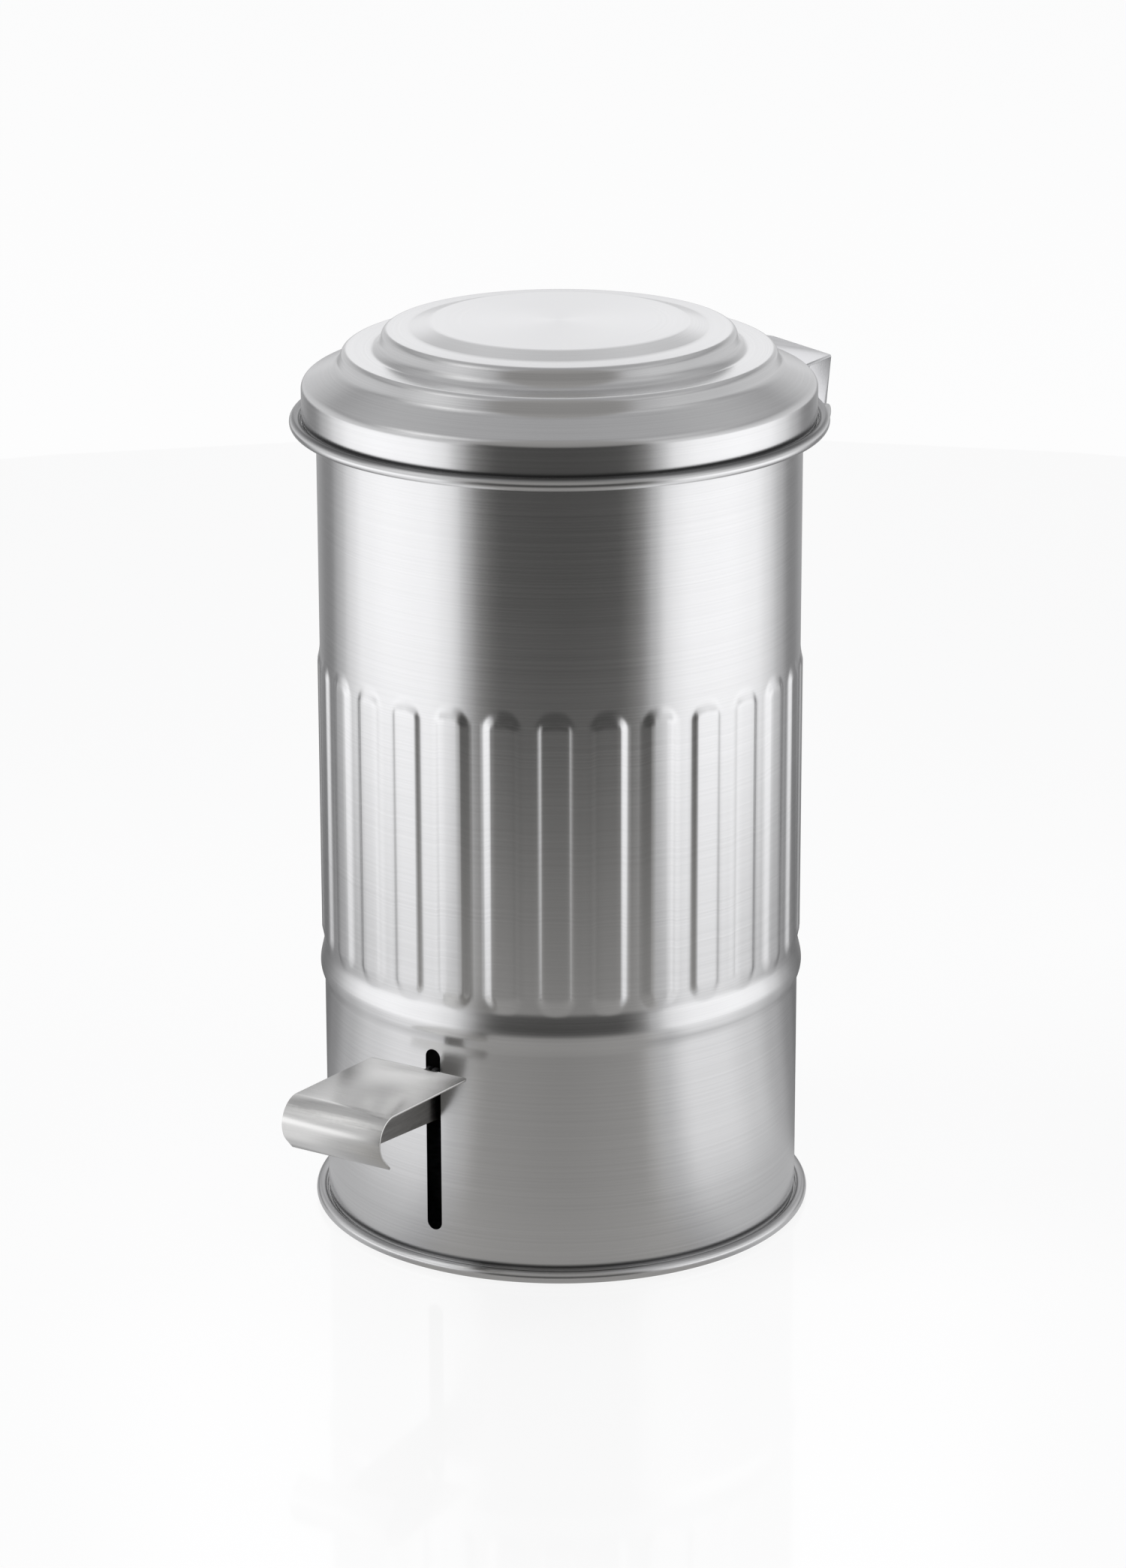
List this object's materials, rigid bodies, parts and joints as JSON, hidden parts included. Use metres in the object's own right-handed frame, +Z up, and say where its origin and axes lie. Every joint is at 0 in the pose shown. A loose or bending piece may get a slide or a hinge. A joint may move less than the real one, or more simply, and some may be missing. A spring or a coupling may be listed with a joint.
{
  "type": "pedal bin",
  "caption": "Round steel bathroom pedal bin with a stepped hinged lid, ribbed wall, lift-out bucket and a foot pedal that opens the lid through a lever and push rod.",
  "frame": {"origin": "on the floor, on the axis of the round shell, in the plane of the foot ring's lower face", "axes": "+Z up along the shell's axis; -Y towards the pedal; +Y towards the lid hinge; +X to the right of someone who faces the pedal"},
  "size_m": [0.222, 0.3116, 0.3824],
  "materials": {
    "steel_sheet": "fine circular brushing, half gloss",
    "pedal_steel": "satin, brushed along the tread",
    "zinc_steel": "dull zinc plate",
    "fastener_steel": "bright drawn steel",
    "clip_steel": "blackened spring steel",
    "black_plastic": "moulded, matte",
    "bucket_plastic": "moulded, fine matte texture",
    "rubber": "matte",
    "nylon": "matte"
  },
  "bodies": {
    "bin": {"body_shell": "steel_sheet", "rim_ring": "black_plastic", "base_pan": "zinc_steel", "foot_ring": "rubber", "fulcrum_bracket": "zinc_steel", "bracket_rivets": "fastener_steel", "fulcrum_pin": "fastener_steel", "fulcrum_clips": "clip_steel", "hinge_base": "zinc_steel", "hinge_base_rivets": "fastener_steel", "hinge_pin": "fastener_steel", "hinge_pin_caps": "fastener_steel", "hinge_washers": "nylon", "rod_guide": "zinc_steel", "bucket": "bucket_plastic", "bucket_bail": "fastener_steel"},
    "lid": {"lid_shell": "steel_sheet", "lid_hood": "steel_sheet", "hood_rivets": "fastener_steel", "lid_crank": "zinc_steel", "crank_rivet": "fastener_steel", "lid_bumpers": "rubber"},
    "pedal_lever": {"pedal_tread": "pedal_steel", "pedal_web": "pedal_steel", "slot_glides": "black_plastic", "glide_rivet": "fastener_steel", "lever_arm": "zinc_steel", "lever_rivets": "fastener_steel", "lever_bush": "nylon"},
    "lift_rod": {"push_rod": "fastener_steel", "rod_clips": "clip_steel"}
  },
  "joints": [
    {"name": "lid_hinge", "type": "hinge", "parent": "bin", "child": "lid", "pos_m": [0, 0.11, 0.328], "axis": [-1, 0, 0], "range_deg": [0, 74]},
    {"name": "pedal_pivot", "type": "hinge", "parent": "bin", "child": "pedal_lever", "pos_m": [0, 0.015, 0.035], "axis": [1, 0, 0], "range_deg": [0, 21]},
    {"name": "rod_pivot", "type": "hinge", "parent": "pedal_lever", "child": "lift_rod", "pos_m": [0, 0.09125, 0.02087], "axis": [1, 0, 0], "range_deg": [-21, 0]}
  ],
  "couplings": [
    {"joint": "pedal_pivot", "follows": "lid_hinge", "ratio": 0.28378},
    {"joint": "rod_pivot", "follows": "lid_hinge", "ratio": -0.28378}
  ]
}
